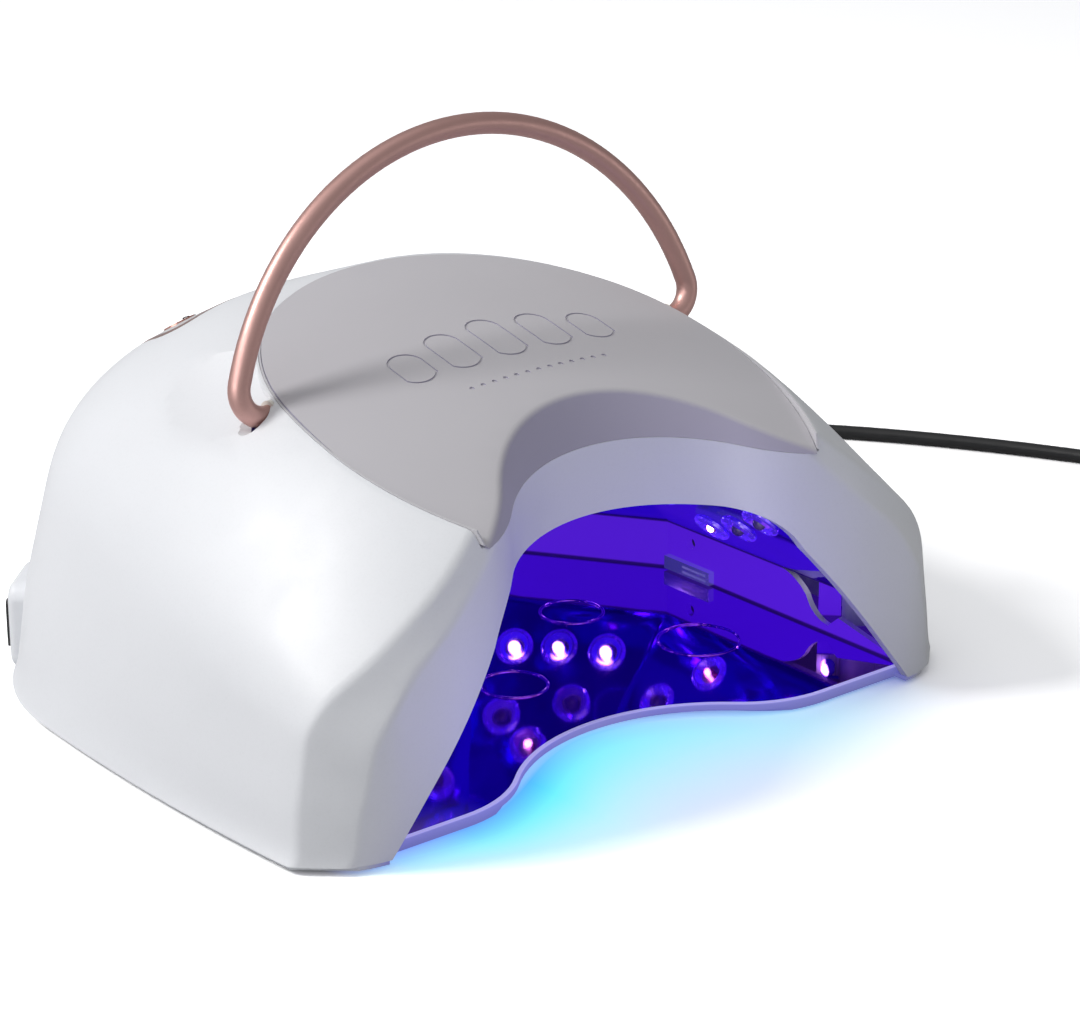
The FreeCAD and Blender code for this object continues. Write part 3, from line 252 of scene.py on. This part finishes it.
def floor_mirror():
    """Mirror sheet on the tray; its left front corner has a painted mauve reflection patch in its emission.
    """
    look, light, patch = lit_mirror("mirror_sheet", (0.42, 0.10, 0.80), (0.002, 0.0, 0.03), 1.0, 0.015, 0.12)
    # painted reflection: mauve emission patch at the left front corner
    left = look.spread(look.axis("X"), 1.0, 0.0, -0.092, -0.058)
    front = look.spread(look.axis("Y"), 1.0, 0.0, FEET + 0.004, FEET + 0.022)
    painted_sheen = look.math("MULTIPLY", look.math("MULTIPLY", left, front), look.spread(patch, 0.5, 1.0, 0.3, 0.6))
    look.set(Emission_Color=look.blend(light, (0.130, 0.073, 0.279), painted_sheen))
    return look.material


def chamber_mirror(tint, skirt):
    """Chamber lining: a mirror above and an upright skirt below, both with painted violet glow as emission,
    bands of painted shade low down and along the skirt's top edge, and a plain back.
    """
    look, light, patch = lit_mirror("mirror_chamber", tint, (0.003, 0.0, 0.10), 1.0, 0.05, 0.12)
    height = look.axis("Z")
    foot = look.spread(height, 1.0, 0.0, SKIRT_TOP, SKIRT_TOP + 0.0005)
    # painted violet glow on the skirt, in soft cloudy patches
    painted_skirt_glow = look.ramp(look.noise(5.0, 1.0), (0.3, shade(skirt, 0.85)), (0.7, skirt))
    level = look.spread(height, 0.0, 1.0, 0.0, 0.03)
    # painted shade: dark lines about 4.5-5 mm up and about 19.4-21.8 mm up along the skirt's top edge,
    # multiplied into the glow
    lines = look.curve(level, (0.150, 0.12), (0.170, 1.0), (0.645, 1.0), (0.660, 0.10), (0.710, 0.10),
                       (0.725, 1.0))
    glow = look.blend(look.blend(light, painted_skirt_glow, foot), lines, 1.0, "MULTIPLY")
    room = look.spread(facing_room(look), 0.0, 1.0, -0.02, 0.08)
    base = look.blend(tint, (0.05, 0.01, 0.20), foot)
    look.set(Emission_Color=look.blend((0.0, 0.0, 0.0), glow, room),
             Metallic=look.math("MULTIPLY", look.math("SUBTRACT", 1.0, foot), room),
             Base_Color=look.blend((0.50, 0.50, 0.54), base, room),
             Specular_IOR_Level=look.spread(foot, 0.5, 0.08), Roughness=look.spread(foot, 0.05, 0.5))
    return look.material


def lamp_lens(name, core, rim, strength, spill):
    """Lit lens: white-hot middle and a coloured edge; spill is how much of it lights the room."""
    look = Look(name)
    facing = look.add("ShaderNodeLayerWeight")
    facing.inputs["Blend"].default_value = 0.35
    dapple = look.noise(1500.0, 2.0)
    edge = look.math("ADD", facing.outputs["Facing"], look.spread(dapple, -0.05, 0.05))
    color = look.ramp(edge, (0.25, core), (0.75, rim))
    seen = look.math("MAXIMUM", look.ray("Is Camera Ray"), look.ray("Is Glossy Ray"))
    front = look.spread(facing_room(look), 0.0, 1.0, 0.25, 0.6)
    power = look.math("MULTIPLY", look.spread(seen, spill, strength), front)
    look.set(Base_Color=(*rim, 1.0), Roughness=0.15, Emission_Color=color, Emission_Strength=power)
    return look.material


def unlit_lens():
    """Clear lens over a yellow phosphor chip."""
    look = Look("unlit_lens")
    facing = look.add("ShaderNodeLayerWeight")
    facing.inputs["Blend"].default_value = 0.3
    dust = look.noise(900.0, 2.0)
    chip = look.ramp(facing.outputs["Facing"], (0.2, (0.20, 0.16, 0.26)), (0.6, (0.08, 0.06, 0.26)))
    look.set(Base_Color=chip, Roughness=look.spread(dust, 0.05, 0.14), Coat_Weight=1.0,
             Normal=look.bump(dust, 0.003 * MM, 0.5))
    return look.material


def soft_touch(name, color, visor_painted_shade):
    """Soft-touch coating; upright faces, such as the band at the front, are painted a darker, bluer tone as
    shade.
    """
    look = Look(name)
    cloud = look.noise(9.0, 3.0, 0.55)
    fine = look.noise(2900.0, 2.0, 0.6)
    pits = look.cells(1600.0)
    rub = look.noise(42.0, 4.0, 0.62)
    tone = look.ramp(cloud, (0.3, shade(color, 0.98)), (0.7, shade(color, 1.02)))
    # painted shade: faces that stand upright get the darker colour
    upright = look.spread(look.axis("Z", look.normal()), 1.0, 0.0, 0.55, 0.85)
    tone = look.blend(tone, visor_painted_shade, upright)
    height = look.math("ADD", fine, look.math("MULTIPLY", pits, 0.6))
    look.set(Base_Color=tone, Roughness=look.spread(rub, 0.51, 0.62, 0.3, 0.7), Sheen_Weight=0.15,
             Normal=look.bump(height, 0.02 * MM, 0.8))
    return look.material


def lit_tray(color):
    """White moulded tray; its front rim has painted light standing in for the cavity's glow: a darker
    lavender-grey base colour and emission that brightens upward to a bright lavender line along the top.
    """
    look = Look("lit_tray")
    cloud = look.noise(9.0, 3.0, 0.55)
    fine = look.noise(2400.0, 2.0, 0.6)
    rub = look.noise(42.0, 4.0, 0.62)
    tone = look.ramp(cloud, (0.3, shade(color, 0.98)), (0.7, shade(color, 1.01)))
    ahead = look.spread(look.axis("Y"), 1.0, 0.0, FEET + 0.030, FEET + 0.040)
    across = look.spread(look.math("ABSOLUTE", look.axis("X")), 1.0, 0.0, 0.095, 0.103)
    level = look.spread(look.axis("Z"), 0.0, 1.0, 0.0, 0.006)
    # painted light: emission from dim navy low down to a bright lavender line at the top of the front rim
    painted_lip_light = look.ramp(level, (0.10, (0.05, 0.06, 0.22)), (0.62, (0.11, 0.11, 0.36)), (0.76, (0.50, 0.46, 0.85)),
                    (0.84, (0.50, 0.46, 0.85)))
    # painted shade and glow: the front rim's base colour turns lavender-grey
    look.set(Base_Color=look.blend(tone, (0.25, 0.25, 0.40), look.math("MULTIPLY", ahead, across)),
             Roughness=look.spread(rub, 0.37, 0.48, 0.3, 0.7), Normal=look.bump(fine, 0.014 * MM, 0.8),
             Emission_Color=painted_lip_light, Emission_Strength=look.math("MULTIPLY", ahead, across))
    return look.material


WHITE = srgb("dfe1e5")
GREY = srgb("bebcc1")
ROSE = srgb("cf9c90")

looks = {
    "white_plastic": moulded("white_plastic", WHITE, 0.42, 0.014, 2400.0, vary=0.02),
    # second colour: painted shade for the cover's upright front band
    "grey_soft_touch": soft_touch("grey_soft_touch", GREY, srgb("a5a1b4")),
    "seal_strip": moulded("seal_strip", srgb("c9c8cc"), 0.6, 0.01, 2400.0),
    "plated_steel": metal("plated_steel", (0.62, 0.62, 0.64), 0.32, (1, 6, 1)),
    "circuit_board": circuit("circuit_board", (0.72, 0.74, 0.70), (0.45, 0.46, 0.44)),
    "aluminium": metal("aluminium", (0.66, 0.67, 0.69), 0.36, (1, 0.06, 1)),
    "black_plastic": moulded("black_plastic", (0.018, 0.018, 0.021), 0.38, 0.016, 2200.0),
    "rose_gold_trim": metal("rose_gold_trim", ROSE, 0.18, (0.2, 1, 1), 0.005),
    "rose_gold_rod": metal("rose_gold_rod", srgb("cba29b"), 0.42, (1, 1, 1), 0.010, 0.04),
    "panel_gloss": moulded("panel_gloss", srgb("f0f0f2"), 0.16, 0.003, 1500.0, coat=0.6),
    "brass": metal("brass", (0.60, 0.42, 0.14), 0.3, (1, 5, 1)),
    "wire_sleeve": moulded("wire_sleeve", (0.30, 0.02, 0.02), 0.42, 0.01, 1800.0),
    "natural_nylon": moulded("natural_nylon", srgb("dcdad2"), 0.46, 0.010, 2000.0),
    "button_plastic": metal("button_plastic", ROSE, 0.22, (1, 1, 1), 0.006),
    "black_rubber": rubber("black_rubber", (0.016, 0.016, 0.018), 0.62),
    "cord_sleeve": rubber("cord_sleeve", (0.006, 0.006, 0.007), 0.42),
    "mirror_sheet": floor_mirror(),
    "mirror_chamber": chamber_mirror((0.16, 0.04, 0.66), VIOLET),
    # painted light: the rings' violet emission stands in for the lamp light they catch and reflect
    "chromed_rings": lit_mirror("chromed_rings", (0.62, 0.50, 1.0), (0.10, 0.03, 0.8), 0.6, 0.10,
                                0.0)[0].material,
    "violet_lens": lamp_lens("violet_lens", (1.0, 0.95, 1.0), (0.20, 0.09, 1.0), 14.0, 6.0),
    "unlit_lens": unlit_lens(),
    "red_lens": lamp_lens("red_lens", (1.0, 0.75, 0.85), (1.0, 0.06, 0.25), 8.0, 2.0),
    "dark_lens": moulded("dark_lens", (0.012, 0.008, 0.02), 0.08, 0.002, 1500.0, coat=1.0),
}


def smoked_glass():
    look = Look("clear_lens")
    smear = look.noise(60.0, 4.0, 0.6)
    look.set(Base_Color=(0.30, 0.30, 0.34, 1.0), Roughness=look.spread(smear, 0.03, 0.10, 0.35, 0.7),
             Transmission_Weight=0.85, IOR=1.49)
    return look.material


looks["clear_lens"] = smoked_glass()

# ---------------------------------------------------------------- CAD nodes: smooth shading and finishes
SHARP = math.radians(24)


def smooth_group():
    """Modifier group: smooth faces with edges sharper than SHARP kept hard."""
    group = bpy.data.node_groups.new("smooth_faces", "GeometryNodeTree")
    group.interface.new_socket("Geometry", in_out="INPUT", socket_type="NodeSocketGeometry")
    group.interface.new_socket("Geometry", in_out="OUTPUT", socket_type="NodeSocketGeometry")
    source, target = group.nodes.new("NodeGroupInput"), group.nodes.new("NodeGroupOutput")
    weld = group.nodes.new("GeometryNodeMergeByDistance")
    weld.inputs["Distance"].default_value = 2e-6
    faces, edges = [group.nodes.new("GeometryNodeSetShadeSmooth") for _ in range(2)]
    edges.domain = "EDGE"
    edges.inputs["Shade Smooth"].default_value = False
    angle = group.nodes.new("GeometryNodeInputMeshEdgeAngle")
    compare = group.nodes.new("FunctionNodeCompare")
    compare.operation = "GREATER_THAN"
    compare.inputs[1].default_value = SHARP
    links = ((source.outputs[0], weld.inputs["Geometry"]), (weld.outputs[0], faces.inputs["Geometry"]),
             (faces.outputs[0], edges.inputs["Geometry"]),
             (angle.outputs["Unsigned Angle"], compare.inputs[0]),
             (compare.outputs[0], edges.inputs["Selection"]), (edges.outputs[0], target.inputs[0]))
    for a, b in links:
        group.links.new(a, b)
    return group


smooth = smooth_group()
slots = {s["node"]: s["material_slot"] for s in frame["record"]["subparts"]}
# painted light: the catches' violet emission stands in for the chamber's glow on them
catch, _, _ = lit_mirror("chrome_catch", (0.60, 0.58, 0.72), (0.05, 0.04, 0.15), 1.0, 0.14, 0.02)
own_looks = {"tray_catches": catch.material, "base_tray": lit_tray(WHITE)}
for name, node in nodes.items():
    node.data.materials.clear()
    node.data.materials.append(own_looks.get(name, looks[slots[name]]))
    modifier = node.modifiers.new("smooth", "NODES")
    modifier.node_group = smooth

# ---------------------------------------------------------------- printed and lit marks
PANEL_OUT = Vector((0, 0.53125, 0.84722)).normalized()
PANEL_RIGHT = Vector((-1, 0, 0))
SWITCH_TURN = math.radians(134)
SWITCH_OUT = Vector((math.cos(SWITCH_TURN), math.sin(SWITCH_TURN), 0))
ROCKER_AXIS = Vector((-0.09618, 0.18348 + FEET, 0.016))
ROCKER_LEAN = 13.9          # degrees between the rocker's two faces
MARK_THICK = 0.1 * MM
MARK_OFFSET = 3.4 * MM      # from the rocker's axis to each of its marks
FIGURE_SIZE = 4.6 * MM
DIGIT_SIZE = 8.5 * MM


def ink(name, color, glow=0.0):
    """Pad-printed ink with a slightly broken edge tone, or a lit segment."""
    look = Look(name)
    speck = look.noise(4000.0, 3.0, 0.6)
    tone = look.ramp(speck, (0.25, shade(color, 0.8)), (0.6, color))
    look.set(Base_Color=tone, Roughness=look.spread(speck, 0.35, 0.55), Emission_Color=tone,
             Emission_Strength=glow)
    return look.material


def basis(x_axis, z_axis, place):
    y_axis = z_axis.cross(x_axis).normalized()
    x_axis = y_axis.cross(z_axis).normalized()
    return Matrix((
        (x_axis.x, y_axis.x, z_axis.x, place.x), (x_axis.y, y_axis.y, z_axis.y, place.y),
        (x_axis.z, y_axis.z, z_axis.z, place.z), (0, 0, 0, 1)))


def outermost(node, way, band=0.0003):
    """Middle of a node's surface that lies furthest along a direction."""
    points = [node.matrix_world @ v.co for v in node.data.vertices]
    limit = max(p.dot(way) for p in points) - band
    chosen = [p for p in points if p.dot(way) > limit]
    low = Vector([min(p[i] for p in chosen) for i in range(3)])
    high = Vector([max(p[i] for p in chosen) for i in range(3)])
    middle = (low + high) / 2
    return middle + way * (limit + band - middle.dot(way))


def add_piece(name, mesh, matrix, material, body):
    mesh.name = name
    mesh.transform(matrix)
    mesh.materials.clear()
    mesh.materials.append(material)
    piece = bpy.data.objects.new(name, mesh)
    bpy.context.scene.collection.objects.link(piece)
    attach(piece, body)
    return piece


def lettering(name, text, size, thick, matrix, material, body):
    """Raised figures, centred on the matrix's origin."""
    curve = bpy.data.curves.new(name, "FONT")
    curve.body = text
    curve.size = size
    curve.extrude = thick / 2
    curve.align_x = "CENTER"
    curve.align_y = "CENTER"
    writer = bpy.data.objects.new(name + "_curve", curve)
    mesh = bpy.data.meshes.new_from_object(writer)
    bpy.data.objects.remove(writer)
    return add_piece(name, mesh, matrix, material, body)


def bar(width, height, thick):
    mesh = bpy.data.meshes.new("bar")
    w, h, t = width / 2, height / 2, thick / 2
    corners = [(x, y, z) for z in (-t, t) for x, y in ((-w, -h), (w, -h), (w, h), (-w, h))]
    mesh.from_pydata(corners, [], [(3, 2, 1, 0), (4, 5, 6, 7), (0, 1, 5, 4), (1, 2, 6, 5), (2, 3, 7, 6),
                                   (3, 0, 4, 7)])
    return mesh


def hoop(radius, width, thick, steps=40):
    """Flat ring."""
    mesh = bpy.data.meshes.new("hoop")
    points, faces = [], []
    for i in range(steps):
        a = 2 * math.pi * i / steps
        for r, z in ((radius, -thick), (radius, thick), (radius - width, thick), (radius - width, -thick)):
            points.append((r * math.cos(a), r * math.sin(a), z / 2))
        for k in range(4):
            faces.append((4 * i + k, 4 * ((i + 1) % steps) + k, 4 * ((i + 1) % steps) + (k + 1) % 4,
                          4 * i + (k + 1) % 4))
    mesh.from_pydata(points, [], faces)
    return mesh


dark_ink, pale_ink = ink("dark_ink", (0.05, 0.04, 0.05)), ink("pale_ink", (0.75, 0.75, 0.76))
segment = ink("lit_segment", (0.55, 0.75, 1.0), 6.0)
for number, minutes in enumerate(("99", "60", "30", "10"), start=1):
    top = outermost(nodes["timer_button_%d" % number], PANEL_OUT)
    lettering("button_mark_%d" % number, minutes, FIGURE_SIZE, MARK_THICK, basis(PANEL_RIGHT, PANEL_OUT, top),
              dark_ink, "button_%d" % number)
display_face = outermost(nodes["display_module"], PANEL_OUT, 0.0001)
lettering("display_digits", "60", DIGIT_SIZE, MARK_THICK,
          basis(PANEL_RIGHT, PANEL_OUT, display_face + PANEL_OUT * MARK_THICK), segment, "hood")

switch_across = SWITCH_OUT.cross(Vector((0, 0, 1)))
for name, mesh, sideways, lean in (
        ("switch_on_mark", bar(2.6 * MM, 0.55 * MM, MARK_THICK), -1, 0.0),
        ("switch_off_mark", hoop(1.3 * MM, 0.45 * MM, MARK_THICK), 1, ROCKER_LEAN)):
    tilt = Matrix.Rotation(math.radians(lean), 3, Vector((0, 0, 1)))
    out = tilt @ SWITCH_OUT
    across = tilt @ (switch_across * sideways)
    surface = [v.co for v in nodes["power_rocker"].data.vertices]
    level = max(p.dot(out) for p in surface)
    place = ROCKER_AXIS + across * MARK_OFFSET
    place += out * (level - place.dot(out))
    add_piece(name, mesh, basis(Vector((0, 0, 1)), out, place), pale_ink, "rocker")

# ---------------------------------------------------------------- floor with the lamp's glow painted on it
FLOOR_HALF = 4.0
BAY_HALF = 0.066            # half width of the curved bay in the tray's front edge
BAY_DEPTH = 0.0128          # half the depth of that bay
BAY_MIDDLE = 0.0203         # how far the bay's mean line lies behind the feet
GLOW_HALF = 0.12            # half width of the painted glow on the table
GLOW_UNIT = 0.1             # metres of reach for a curve value of 1

floor_mesh = bpy.data.meshes.new("floor")
floor_corners = [(x * FLOOR_HALF, y * FLOOR_HALF, 0) for x, y in ((-1, -1), (1, -1), (1, 1), (-1, 1))]
floor_mesh.from_pydata(floor_corners, [], [(0, 1, 2, 3)])
floor = bpy.data.objects.new("floor", floor_mesh)
bpy.context.scene.collection.objects.link(floor)


def floor_look():
    """White table top with the light that leaves the hand opening painted on it as emission: a cyan and blue
    pool ahead of the tray's front edge, fading with distance.
    """
    look = Look("floor")
    x, y = look.axis("X"), look.math("SUBTRACT", look.axis("Y"), FEET)
    wave = look.math("COSINE", look.math("MULTIPLY", look.math("MINIMUM", look.math("ABSOLUTE", x), BAY_HALF),
                                         math.pi / BAY_HALF))
    edge = look.math("MULTIPLY_ADD", wave, BAY_DEPTH, BAY_MIDDLE)
    ahead = look.math("SUBTRACT", edge, y)
    across = look.spread(x, 0.0, 1.0, -GLOW_HALF, GLOW_HALF)
    amount = look.curve(across, (0.04, 0.0), (0.12, 0.70), (0.22, 0.92), (0.36, 1.0), (0.50, 0.82),
                        (0.64, 0.56), (0.78, 0.30), (0.93, 0.0))
    reach = look.curve(across, (0.06, 0.10), (0.2, 0.22), (0.36, 0.37), (0.52, 0.42), (0.72, 0.34),
                       (0.95, 0.22))
    far = look.math("DIVIDE", look.math("MAXIMUM", ahead, 0.0), look.math("MULTIPLY", reach, GLOW_UNIT))
    fade = look.math("EXPONENT", look.math("MULTIPLY", look.math("POWER", far, 1.9), -1.0))
    inside = look.spread(ahead, 0.0, 1.0, -0.012, -0.001)
    # painted light: how strongly the glow is painted at each point of the table
    share = look.math("MULTIPLY", look.math("MULTIPLY", fade, amount), inside)
    near = look.math("MULTIPLY", look.spread(ahead, 1.0, 0.0, -0.002, 0.010),
                     look.spread(across, 1.0, 0.25, 0.15, 0.7))
    glow = look.blend((0.10, 0.90, 1.0), (0.10, 0.30, 1.0), near)
    grain = look.noise(350.0, 3.0)
    direct = look.ray("Is Camera Ray")
    bounce = look.ramp(grain, (0.3, (0.52, 0.52, 0.53)), (0.7, (0.56, 0.56, 0.57)))
    paper = look.blend(bounce, (1.55, 1.55, 1.56), direct)
    # painted light: rays other than camera rays see a dim violet glow, which lights the hood's front
    glow = look.blend((0.16, 0.15, 0.55), glow, direct)
    matt = look.add("ShaderNodeBsdfDiffuse")
    look.link(look.blend(paper, (0.0, 0.0, 0.0), share), matt.inputs["Color"])
    # painted light: extra white emission where the glow fades, for camera rays
    painted_pale_light = look.math("MULTIPLY", look.math("MULTIPLY", share, look.math("SUBTRACT", 1.0, share)), direct)
    lit = look.add("ShaderNodeEmission")
    look.link(look.blend(look.blend((0.0, 0.0, 0.0), glow, share), (0.6, 0.6, 0.6), painted_pale_light, "ADD"),
              lit.inputs["Color"])
    both = look.add("ShaderNodeAddShader")
    look.link(matt.outputs[0], both.inputs[0])
    look.link(lit.outputs[0], both.inputs[1])
    look.link(both.outputs[0], look.tree.nodes["Material Output"].inputs["Surface"])
    return look.material


floor.data.materials.append(floor_look())

# ---------------------------------------------------------------- camera, lights and background
SENSOR_WIDTH = 36.0         # mm
LENS = 111.38333            # mm

scene = bpy.context.scene
eye = Vector((-0.57020, -0.63080 + FEET, 0.38993))
ahead = Vector((0.5988, 0.7223, -0.3461)).normalized()
right = Vector((0.7699, -0.6382, 0.0)).normalized()
upward = right.cross(ahead).normalized()
camera_data = bpy.data.cameras.new("camera")
camera_data.sensor_fit = "HORIZONTAL"
camera_data.sensor_width = SENSOR_WIDTH
camera_data.lens = LENS
camera_data.clip_end = 20.0
camera = bpy.data.objects.new("camera", camera_data)
camera.matrix_world = Matrix((
    (right.x, upward.x, -ahead.x, eye.x), (right.y, upward.y, -ahead.y, eye.y),
    (right.z, upward.z, -ahead.z, eye.z), (0, 0, 0, 1)))
scene.collection.objects.link(camera)
scene.camera = camera


def area(name, place, aim, size, power, color=(1, 1, 1), shadows=True):
    data = bpy.data.lights.new(name, "AREA")
    data.shape = "DISK"
    data.size = size
    data.energy = power
    data.color = color
    data.use_shadow = shadows
    lamp = bpy.data.objects.new(name, data)
    lamp.location = place
    lamp.rotation_euler = (Vector(aim) - Vector(place)).to_track_quat("-Z", "Y").to_euler()
    scene.collection.objects.link(lamp)
    return lamp


target = (0.0, 0.09 + FEET, 0.06)
key_way = Vector((-0.66, 0.33, 0.68))
area("key", Vector(target) + key_way * 1.5, target, 0.42, 13.5, (1.0, 0.985, 0.97))
area("top", (-0.1, 0.2 + FEET, 1.6), target, 1.6, 2.1)
spill = area("front_spill", (-0.01, FEET - 0.045, 0.004), (-0.005, FEET + 0.02, 0.075), 0.10, 0.05,
             (0.30, 0.25, 1.0))
spill.visible_camera = False
for name, way, size, power in (("left_card", (-0.95, -0.15, 0.25), 0.9, 4.2),
                               ("right_card", (0.75, -0.65, 0.10), 0.6, 0.7)):
    card = area(name, Vector(target) + Vector(way) * 1.2, target, size, power, shadows=False)
    card.visible_camera = False
    card.visible_diffuse = False

world = bpy.data.worlds.new("world")
world.use_nodes = True
scene.world = world
tree = world.node_tree
back = tree.nodes["Background"]
direction = tree.nodes.new("ShaderNodeTexCoord")
split = tree.nodes.new("ShaderNodeSeparateXYZ")
tree.links.new(direction.outputs["Generated"], split.inputs[0])
sky = tree.nodes.new("ShaderNodeMapRange")
tree.links.new(split.outputs["X"], sky.inputs["Value"])
for key, number in (("From Min", -1.0), ("From Max", 1.0), ("To Min", 0.62), ("To Max", 0.31)):
    sky.inputs[key].default_value = number
tree.links.new(sky.outputs["Result"], back.inputs["Strength"])
back.inputs["Color"].default_value = (0.97, 0.98, 1.0, 1.0)

scene.view_settings.view_transform = "Standard"
scene.view_settings.look = "None"
